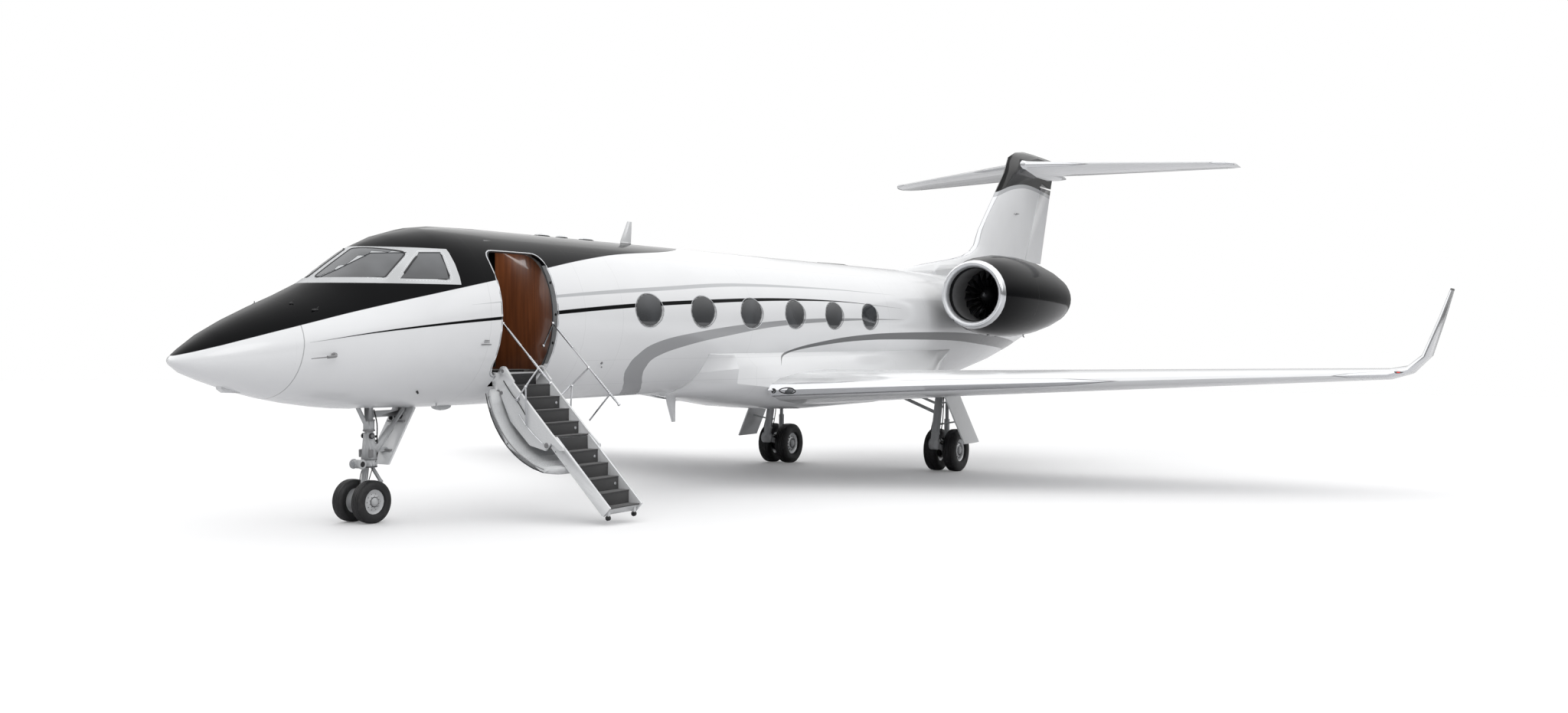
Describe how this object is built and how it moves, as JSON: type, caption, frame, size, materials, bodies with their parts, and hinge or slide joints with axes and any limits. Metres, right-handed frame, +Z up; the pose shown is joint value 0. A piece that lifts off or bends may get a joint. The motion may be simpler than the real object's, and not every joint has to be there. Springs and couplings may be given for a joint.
{
  "type": "business jet",
  "caption": "Twin-engined business jet with swept wings and winglets, high tailplane and rear engines, parked on its landing gear with the folding airstair let down.",
  "frame": {"origin": "on the ground under the middle of the parked aircraft's bounding box", "axes": "+X aft along the fuselage, +Y to starboard, +Z up; the nose points along -X and the stance is 1.6 degrees nose down"},
  "size_m": [28.1707, 22.089, 7.9968],
  "materials": {
    "airstair_white": "gloss white enamel with dark edge seal",
    "bare_metal": "polished bare metal with a fine grain",
    "carpet": "short pile",
    "cockpit_dark": "matte dark grey",
    "engine_dark": "dark burnt metal",
    "fan_metal": "dark satin metal",
    "gear_grey": "satin light grey enamel",
    "glazing": "smoked and polished",
    "gloss_white": "high gloss white enamel, with the livery bands painted over it",
    "nacelle_black": "gloss black enamel behind a polished lip",
    "rail_metal": "satin anodised tube",
    "seat_leather": "smooth cream",
    "tyre_rubber": "matte black, grooved round the tread",
    "wheel_silver": "satin silver paint on a forged wheel",
    "wood_veneer": "lacquered upright grain, reddish brown"
  },
  "bodies": {
    "airframe": {"aft_bulkhead": "wood_veneer", "aft_fuselage": "gloss_white", "belly_fairing": "gloss_white", "cabin_floor": "carpet", "cabin_shell": "gloss_white", "cockpit_deck": "cockpit_dark", "engine_port": "engine_dark", "engine_starboard": "engine_dark", "fin": "gloss_white", "galley_cabinet": "wood_veneer", "main_gear_door_port": "gloss_white", "main_gear_door_starboard": "gloss_white", "main_gear_leg_port": "gear_grey", "main_gear_leg_starboard": "gear_grey", "main_gear_link_port": "gear_grey", "main_gear_link_starboard": "gear_grey", "nacelle_port": "nacelle_black", "nacelle_starboard": "nacelle_black", "nose_gear_door": "gloss_white", "nose_gear_leg": "gear_grey", "nose_shell": "gloss_white", "pane_front_port": "glazing", "pane_front_starboard": "glazing", "pane_side_port": "glazing", "pane_side_starboard": "glazing", "pylon_port": "gloss_white", "pylon_starboard": "gloss_white", "radome": "gloss_white", "seats_port": "seat_leather", "seats_starboard": "seat_leather", "tailplane": "gloss_white", "window_strip_port": "glazing", "window_strip_starboard": "glazing", "windscreen_frame": "bare_metal", "wing_port": "gloss_white", "wing_starboard": "gloss_white"},
    "nose_fork": {"nose_gear_fork": "gear_grey"},
    "nose_wheels": {"nose_wheels": "wheel_silver", "nose_tyre_port": "tyre_rubber", "nose_tyre_starboard": "tyre_rubber"},
    "main_wheels_port": {"main_port_wheels": "wheel_silver", "main_port_tyre_inner": "tyre_rubber", "main_port_tyre_outer": "tyre_rubber"},
    "fan_port": {"fan_port": "fan_metal"},
    "aileron_port": {"aileron_port": "gloss_white"},
    "elevator_port": {"elevator_port": "gloss_white"},
    "main_wheels_starboard": {"main_starboard_wheels": "wheel_silver", "main_starboard_tyre_inner": "tyre_rubber", "main_starboard_tyre_outer": "tyre_rubber"},
    "fan_starboard": {"fan_starboard": "fan_metal"},
    "aileron_starboard": {"aileron_starboard": "gloss_white"},
    "elevator_starboard": {"elevator_starboard": "gloss_white"},
    "rudder": {"rudder": "gloss_white"},
    "airstair": {"airstair_door": "airstair_white"},
    "airstair_lower": {"airstair_lower": "airstair_white"},
    "handrails": {"handrail_back": "rail_metal", "handrail_front": "rail_metal"}
  },
  "joints": [
    {"name": "nose_steering", "type": "hinge", "parent": "airframe", "child": "nose_fork", "pos_m": [-11.29767, 0, 0.79722], "axis": [-0.0283, 0, 0.9996], "range_deg": [-75, 75]},
    {"name": "nose_wheel_spin", "type": "hinge", "parent": "nose_fork", "child": "nose_wheels", "pos_m": [-11.40281, 0, 0.27], "axis": [0, 1, 0], "continuous": true},
    {"name": "main_wheel_spin_port", "type": "hinge", "parent": "airframe", "child": "main_wheels_port", "pos_m": [1.76207, -1.9725, 0.425], "axis": [0, 1, 0], "continuous": true},
    {"name": "fan_spin_port", "type": "hinge", "parent": "airframe", "child": "fan_port", "pos_m": [2.51637, -2.15, 3.60885], "axis": [0.9996, 0, 0.0283], "continuous": true},
    {"name": "main_wheel_spin_starboard", "type": "hinge", "parent": "airframe", "child": "main_wheels_starboard", "pos_m": [1.76207, 1.9725, 0.425], "axis": [0, 1, 0], "continuous": true},
    {"name": "fan_spin_starboard", "type": "hinge", "parent": "airframe", "child": "fan_starboard", "pos_m": [2.51637, 2.15, 3.60885], "axis": [0.9996, 0, 0.0283], "continuous": true},
    {"name": "airstair_hinge", "type": "hinge", "parent": "airframe", "child": "airstair", "pos_m": [-9.5877, -0.83, 1.81296], "axis": [-0.9996, 0, -0.0283], "range_deg": [0, 134]},
    {"name": "stair_fold", "type": "hinge", "parent": "airstair", "child": "airstair_lower", "pos_m": [-9.5632, -1.99819, 0.94653], "axis": [-0.9996, 0, -0.0283], "range_deg": [0, 179.56]},
    {"name": "rail_fold", "type": "hinge", "parent": "airstair", "child": "handrails", "pos_m": [-9.58077, -1.27705, 1.56791], "axis": [0.9996, 0, 0.0283], "range_deg": [0, 42.88]},
    {"name": "rudder_hinge", "type": "hinge", "parent": "airframe", "child": "rudder", "pos_m": [10.79459, 0, 4.99342], "axis": [0.4737, 0, 0.8807], "range_deg": [-22, 22]},
    {"name": "elevator_port_hinge", "type": "hinge", "parent": "airframe", "child": "elevator_port", "pos_m": [12.86401, -0.55, 7.62742], "axis": [0.2016, -0.9795, -0.0042], "range_deg": [-25, 15]},
    {"name": "elevator_starboard_hinge", "type": "hinge", "parent": "airframe", "child": "elevator_starboard", "pos_m": [12.86401, 0.55, 7.62742], "axis": [0.2016, 0.9795, -0.0042], "range_deg": [-15, 25]},
    {"name": "aileron_port_hinge", "type": "hinge", "parent": "airframe", "child": "aileron_port", "pos_m": [1.91055, -7.6, 1.97731], "axis": [0.2241, -0.9741, 0.0298], "range_deg": [-22, 16]},
    {"name": "aileron_starboard_hinge", "type": "hinge", "parent": "airframe", "child": "aileron_starboard", "pos_m": [1.91055, 7.6, 1.97731], "axis": [0.2241, 0.9741, 0.0298], "range_deg": [-16, 22]}
  ],
  "couplings": [
    {"joint": "stair_fold", "follows": "airstair_hinge", "ratio": 1.34},
    {"joint": "rail_fold", "follows": "airstair_hinge", "ratio": 0.32}
  ]
}
